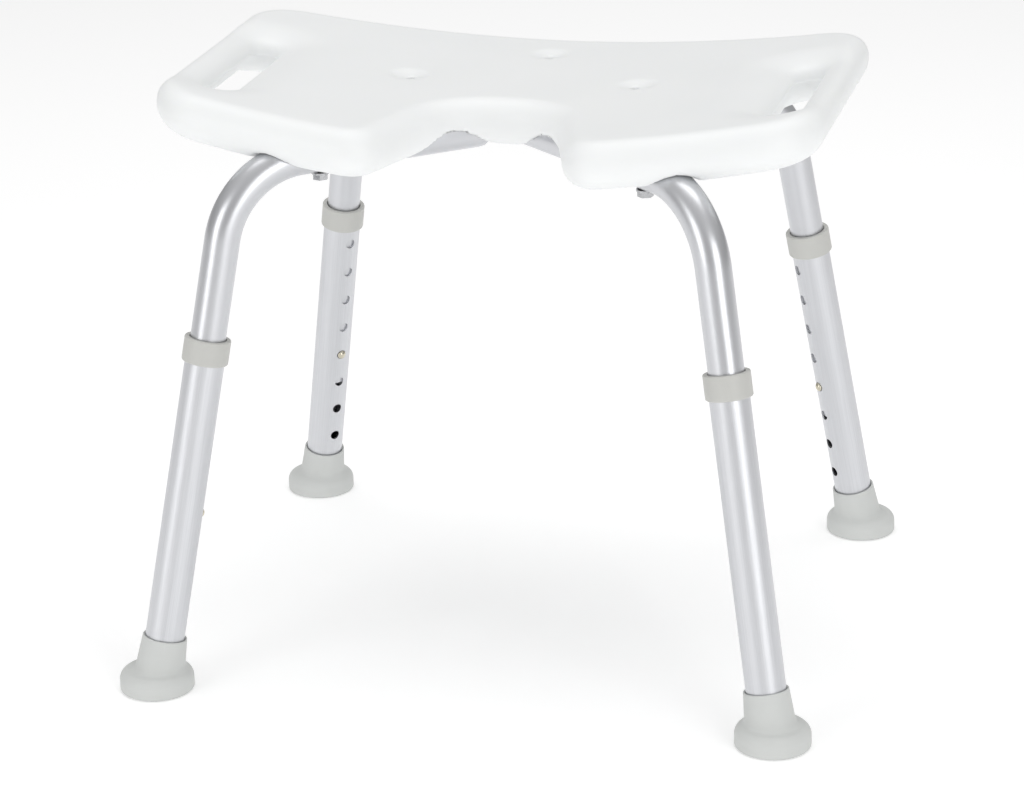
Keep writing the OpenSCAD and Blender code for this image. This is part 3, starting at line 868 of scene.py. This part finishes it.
def drilled_tube_tree():
    tree, keys, start, end = new_tree("drilled_tube", ("Hole pitch", "Hole radius"))
    line = add_node(tree, "GeometryNodeMeshLine", Count=HOLE_COUNT,
                    Start_Location=(-LEG_RADIUS * MM, 0, HOLE_TOP * MM))
    down = add_node(tree, "ShaderNodeMath", {0: start.outputs["Hole pitch"]}, operation="MULTIPLY")
    down.inputs[1].default_value = -1.0
    step_down = add_node(tree, "ShaderNodeCombineXYZ", {"Z": down.outputs["Value"]})
    tree.links.new(step_down.outputs["Vector"], line.inputs["Offset"])
    bit = add_node(tree, "GeometryNodeMeshCylinder", {"Radius": start.outputs["Hole radius"]},
                   Vertices=BIT_SIDES, Depth=DRILL_LENGTH * MM)
    bits = add_node(tree, "GeometryNodeInstanceOnPoints", {"Points": line.outputs["Mesh"],
                    "Instance": bit.outputs["Mesh"]}, Rotation=(0, math.pi / 2, 0))
    whole = add_node(tree, "GeometryNodeRealizeInstances", {"Geometry": bits.outputs["Instances"]})
    cut = add_node(tree, "GeometryNodeMeshBoolean", {"Mesh 1": start.outputs["Geometry"],
                   "Mesh 2": whole.outputs["Geometry"]}, operation="DIFFERENCE", solver="EXACT")
    finish_tree(tree, start, end, cut.outputs["Mesh"])
    return tree, keys


drill_tree, drill_keys = drilled_tube_tree()
print("tree inputs:", list(drill_keys))

# %% [markdown]
# ## Lathe work
#
# Tubes, collars and buttons are round about one axis, as if turned on a lathe. A Screw modifier
# could spin a profile too. Here the rings of points are worked out directly, which gives each
# profile point its own ring and keeps the number of sides plain to see.

# %% Rings from a profile
SAME_POINT = 1e-6  # metres
FLAT_CORNER = math.radians(40)


def rounded_profile(corners, radii, steps=6):
    """A closed profile with each corner rounded by its own radius."""
    spots = [np.array(c, float) for c in corners]
    parts = []
    for k, r in enumerate(radii):
        before, here, after = spots[k - 1], spots[k], spots[(k + 1) % len(spots)]
        parts.append(corner_arc(before, here, after, r, steps) if r else here[None])
    return np.vstack(parts)


def lathed(name, profile, sides=96, closed=True):
    """Turns a profile of radius and height round z; points on the axis are merged."""
    turn = 2 * math.pi * np.arange(sides) / sides
    radius, height = np.asarray(profile, float).T
    points = np.stack([np.outer(radius, np.cos(turn)), np.outer(radius, np.sin(turn)),
                       np.repeat(height[:, None], sides, 1)], 2).reshape(-1, 3)
    faces, count = [], len(profile)
    for i in range(count if closed else count - 1):
        j = (i + 1) % count
        for k in range(sides):
            m = (k + 1) % sides
            faces.append((i * sides + k, i * sides + m, j * sides + m, j * sides + k))
    piece = mesh_piece(name, points, faces)
    work = bmesh.new()
    work.from_mesh(piece.data)
    bmesh.ops.remove_doubles(work, verts=work.verts, dist=SAME_POINT)
    bmesh.ops.recalc_face_normals(work, faces=work.faces)
    work.to_mesh(piece.data)
    work.free()
    return piece


def weigh_normals(piece):
    """Lets the large faces of a rounded form stay flat in shading."""
    piece.data.set_sharp_from_angle(angle=FLAT_CORNER)
    even = piece.modifiers.new("even", "WEIGHTED_NORMAL")
    even.keep_sharp = True
    return settle_modifiers(piece)


def ride_leg(piece, node, body, azimuth, place=on_leg):
    """Puts an upright piece on its leg, hides the imported part it replaces and parents it to its
    body.
    """
    put_vertices(piece.data, place(vertices_mm(piece.data), azimuth))
    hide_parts(node)
    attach(piece, body)


def copy_piece(piece, name):
    return new_object(name, piece.data.copy())


one_round = rounded_profile([(0, 0), (9, 0), (9, 9)], (0, 1, 0))
print("a rounded corner gets", len(one_round) - 2, "points")

# %% [markdown]
# The profile of a leg tube is its wall with the sharp outer edges broken. One tube is turned and
# drilled, and four copies of it go to the four legs. The normals are worked out while the tube
# stands upright, where the axis is simply z, and are turned with it.

# %% The four leg tubes
EDGE_BREAK = 0.35
FACES_THE_AXIS, ON_THE_WALL = 0.98, 0.1


def radial_normals(mesh):
    """Outside and inside walls shade as true cylinders; drilled and cut faces stay flat."""
    co = vertices_mm(mesh)
    radial = co * (1, 1, 0)
    off_axis = np.linalg.norm(radial, axis=1)
    radial /= off_axis[:, None]
    normals = np.zeros((len(mesh.loops), 3))
    for face in mesh.polygons:
        out = np.array(face.center)[:2]
        lean = np.array(face.normal)[:2] @ out / np.linalg.norm(out)
        gap = min(abs(off_axis[face.vertices[0]] - r) for r in (LEG_RADIUS, LEG_BORE))
        wall = abs(lean) > FACES_THE_AXIS and gap < ON_THE_WALL
        for loop in face.loop_indices:
            vertex = mesh.loops[loop].vertex_index
            normals[loop] = radial[vertex] * np.sign(lean) if wall else face.normal
    mesh.polygons.foreach_set("use_smooth", [True] * len(mesh.polygons))
    mesh.normals_split_custom_set([tuple(v) for v in normals])


tube_profile = [
    (LEG_BORE, LEG_BOTTOM), (LEG_RADIUS - EDGE_BREAK, LEG_BOTTOM),
    (LEG_RADIUS, LEG_BOTTOM + EDGE_BREAK), (LEG_RADIUS, LEG_TOP - EDGE_BREAK),
    (LEG_RADIUS - EDGE_BREAK, LEG_TOP), (LEG_BORE, LEG_TOP)]
drawn_tube = lathed("drawn_tube", tube_profile)
grow(drawn_tube, drill_tree, drill_keys, {
    "Hole pitch": HOLE_PITCH * MM, "Hole radius": HOLE_RADIUS * MM, "Finish": leg_aluminium})
keep_tube_space(drawn_tube.data, vertices_mm(drawn_tube.data))
give(drawn_tube, leg_aluminium)
radial_normals(drawn_tube.data)
kept = np.empty(len(drawn_tube.data.loops) * 3)
drawn_tube.data.corner_normals.foreach_get("vector", kept)
upright = kept.reshape(-1, 3)
for leg, azimuth in LEGS.items():
    piece = copy_piece(drawn_tube, f"drilled_leg_tube_{leg}")
    ride_leg(piece, f"leg_tube_{leg}", f"leg_{leg}", azimuth)
    leant = on_leg(upright, azimuth) - on_leg(np.zeros((1, 3)), azimuth)
    piece.data.normals_split_custom_set([tuple(v) for v in leant])
bpy.data.objects.remove(drawn_tube)
print("leg tube faces:", len(piece.data.polygons))

# %% [markdown]
# ## Collars
#
# A collar sits on the end of each leg tube. Its lip reaches over the tube's end and guides the
# frame tube with a little clearance, which shows as a thin dark ring. It is a turned form, so a
# profile with rounded corners is spun round the axis.

# %% The four collars
COLLAR_HEIGHT, COLLAR_RADIUS, LIP_HEIGHT, LIP_GAP = 18.0, 16.7, 2.3, 0.45
lip_top, lip_radius = LEG_TOP + LIP_HEIGHT, TUBE_RADIUS + LIP_GAP
collar_low = lip_top - COLLAR_HEIGHT
collar_profile = rounded_profile(
    [(LEG_RADIUS, collar_low), (COLLAR_RADIUS, collar_low), (COLLAR_RADIUS, lip_top),
     (lip_radius, lip_top), (lip_radius, LEG_TOP), (LEG_RADIUS, LEG_TOP)],
    (0.3, 1.1, 1.1, 0.6, 0, 0))
ring = weigh_normals(lathed("collar_ring", collar_profile))
give(ring, collar_plastic)
for leg, azimuth in LEGS.items():
    piece = copy_piece(ring, f"moulded_collar_{leg}")
    ride_leg(piece, f"collar_{leg}", f"leg_{leg}", azimuth)
bpy.data.objects.remove(ring)
print("collar height:", COLLAR_HEIGHT, "mm")

# %% [markdown]
# ## Lock buttons
#
# A lock button is a small brass pin with a domed end that springs out through the fifth hole.

# %% The four buttons
BUTTON_RADIUS, BUTTON_DOME, DOME_STEPS, DOME_COLLAR = 3.5, 1.9, 10, 0.3
BUTTON_FOOT, BUTTON_TIP = TUBE_RADIUS - TUBE_WALL - 1.1, LEG_RADIUS + 2.3
dome_radius = (BUTTON_RADIUS ** 2 + BUTTON_DOME ** 2) / (2 * BUTTON_DOME)
dome_turn = np.linspace(math.asin(BUTTON_RADIUS / dome_radius), 0, DOME_STEPS)
dome = [(dome_radius * math.sin(a), BUTTON_TIP - dome_radius * (1 - math.cos(a)))
        for a in dome_turn]
pin_profile = [(0, BUTTON_FOOT), (BUTTON_RADIUS, BUTTON_FOOT),
               (BUTTON_RADIUS, BUTTON_TIP - BUTTON_DOME - DOME_COLLAR), *dome]
pin = lathed("button_pin", pin_profile, sides=48, closed=False)
weigh_normals(pin)
give(pin, button_metal)
spots = vertices_mm(pin.data)
put_vertices(pin.data, np.stack([-spots[:, 2], spots[:, 1], spots[:, 0] + BUTTON_AT], 1))
for leg, azimuth in LEGS.items():
    piece = copy_piece(pin, f"lock_button_{leg}")
    ride_leg(piece, f"button_{leg}", f"lock_{leg}", azimuth)
bpy.data.objects.remove(pin)
print("button stands out:", round(BUTTON_TIP - LEG_RADIUS, 1), "mm")

# %% [markdown]
# ## Spring strips
#
# Behind each button, inside the frame tube, a strip of spring steel is bent to a V. Pressing the
# button squeezes the V towards its far side.

# %% The four spring strips
STRIP_OUT, STRIP_THICK, STRIP_WIDTH, STRIP_PAD, STRIP_LONG = BUTTON_FOOT, 0.8, 9.0, 8.0, 46.0
TIP_OUT, TIP_IN = 2.0, 1.5


def spring_strip(leg, azimuth):
    """The V of the strip seen from its side, carried across the strip's width."""
    inner, tip = STRIP_OUT - STRIP_THICK, STRIP_LONG - STRIP_THICK
    side = [(-STRIP_OUT, -STRIP_PAD), (-STRIP_OUT, STRIP_PAD), (-TIP_OUT, STRIP_LONG),
            (TIP_OUT, STRIP_LONG), (STRIP_OUT, STRIP_PAD), (STRIP_OUT, -STRIP_PAD),
            (inner, -STRIP_PAD), (inner, STRIP_PAD), (TIP_IN, tip),
            (-TIP_IN, tip), (-inner, STRIP_PAD), (-inner, -STRIP_PAD)]
    count = len(side)
    points = [(x, y, BUTTON_AT + z) for y in (-STRIP_WIDTH / 2, STRIP_WIDTH / 2) for x, z in side]
    faces = [list(range(count)), list(reversed(range(count, 2 * count)))]
    faces += [[k, count + k, count + (k + 1) % count, (k + 1) % count] for k in range(count)]
    piece = mesh_piece(f"spring_strip_{leg}", points, faces, smooth=False)
    work = bmesh.new()
    work.from_mesh(piece.data)
    bmesh.ops.recalc_face_normals(work, faces=work.faces)
    bmesh.ops.triangulate(work, faces=[f for f in work.faces if len(f.verts) > 4])
    work.to_mesh(piece.data)
    work.free()
    give(piece, spring_steel)
    ride_leg(piece, f"button_spring_{leg}", "frame", azimuth)
    return piece


for leg, azimuth in LEGS.items():
    piece = spring_strip(leg, azimuth)
    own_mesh(piece)

# %% [markdown]
# ## Feet
#
# A rubber foot is one soft form: a flat round base with a thick rounded shoulder, and a neck that
# leans with the leg and swells into the base. The same method as the seat's suits it, with a finer
# grid, because a smooth minimum makes the swell between neck and base. Rings on the sole give grip.

# %% The foot's field
FOOT_BASE_RADIUS, FOOT_BASE_HEIGHT, FOOT_SHOULDER, FOOT_EDGE = 27.0, 15.0, 7.0, 1.5
NECK_LOW, NECK_TOP, NECK_START, NECK_SOFT, FOOT_TOP = 18.8, 16.15, LEG_BOTTOM - 4, 4.0, 39.5
SOCKET_GAP, MOUTH_GAP, MOUTH_FLARE, MOUTH_DEPTH, MOUTH_SOFT = 0.02, 0.7, 0.37, 3.0, 0.3
GRIP_FROM, GRIP_PITCH, GRIP_HALF, GRIP_DEPTH, GRIP_END, GRIP_SOFT = 4.0, 5.0, 0.9, 0.9, 22.0, 0.5


def rounded_corner(a, b, radius):
    """Distance to the outside of a corner where both a and b are less than zero inside."""
    a, b = a + radius, b + radius
    beyond = np.hypot(np.clip(a, 0, None), np.clip(b, 0, None))
    return np.minimum(np.maximum(a, b), 0) + beyond - radius


def foot_field(x, y, z):
    """Less than zero inside the foot, which has its leg's socket and rings on its sole."""
    off = np.hypot(x - FOOT_RADIUS, y)
    base = rounded_corner(off - FOOT_BASE_RADIUS, z - FOOT_BASE_HEIGHT, FOOT_SHOULDER)
    base = np.maximum(base, rounded_corner(off - FOOT_BASE_RADIUS, -z, FOOT_EDGE))
    c, s = math.cos(LEG_LEAN), math.sin(LEG_LEAN)
    run = -(x - FOOT_RADIUS) * s + z * c
    beside = np.hypot((x - FOOT_RADIUS) * c + z * s, y)
    taper = (NECK_LOW - NECK_TOP) / (FOOT_TOP - NECK_START)
    neck = (beside - NECK_LOW + (run - NECK_START) * taper) * math.cos(math.atan(taper))
    neck = np.maximum(rounded_corner(neck, run - FOOT_TOP, 0.5), -z)
    form = smooth_min(base, neck, NECK_SOFT)
    socket = np.maximum(beside - LEG_RADIUS - SOCKET_GAP, LEG_BOTTOM - run)
    mouth = beside - LEG_RADIUS - MOUTH_GAP - (run - FOOT_TOP) * MOUTH_FLARE
    mouth = np.maximum(mouth, FOOT_TOP - MOUTH_DEPTH - run)
    form = smooth_max(smooth_max(form, -socket, MOUTH_SOFT), -mouth, MOUTH_SOFT)
    grip = np.abs(np.mod(off, GRIP_PITCH) - GRIP_PITCH / 2) - GRIP_HALF
    groove = np.maximum(np.maximum(grip, z - GRIP_DEPTH), off - GRIP_END)
    return smooth_max(form, -np.maximum(groove, GRIP_FROM - off), GRIP_SOFT)


sole_point = np.array([[FOOT_RADIUS + 10], [0.0], [5.0]])
print("field inside the sole:", foot_field(*sole_point).round(2), "mm")

# %% The four feet
foot_step = 0.8
foot_low = (FOOT_RADIUS - 30, -30, -2)
foot_high = (FOOT_RADIUS + 30, 30, 46)
foot_points, foot_quads = surface_net(foot_field, foot_low, foot_high, foot_step)
foot_points = settle(foot_points, foot_field, probe=0.05, most=0.25)
foot_points[:, 2] = np.clip(foot_points[:, 2], 0, None)
for leg, azimuth in LEGS.items():
    piece = mesh_piece(f"rubber_foot_{leg}", foot_points, foot_quads)
    give(piece, foot_rubber)
    ride_leg(piece, f"foot_{leg}", f"leg_{leg}", azimuth, place=turned)
print("foot:", len(foot_quads), "quads, lowest point", foot_points[:, 2].min().round(2), "mm")
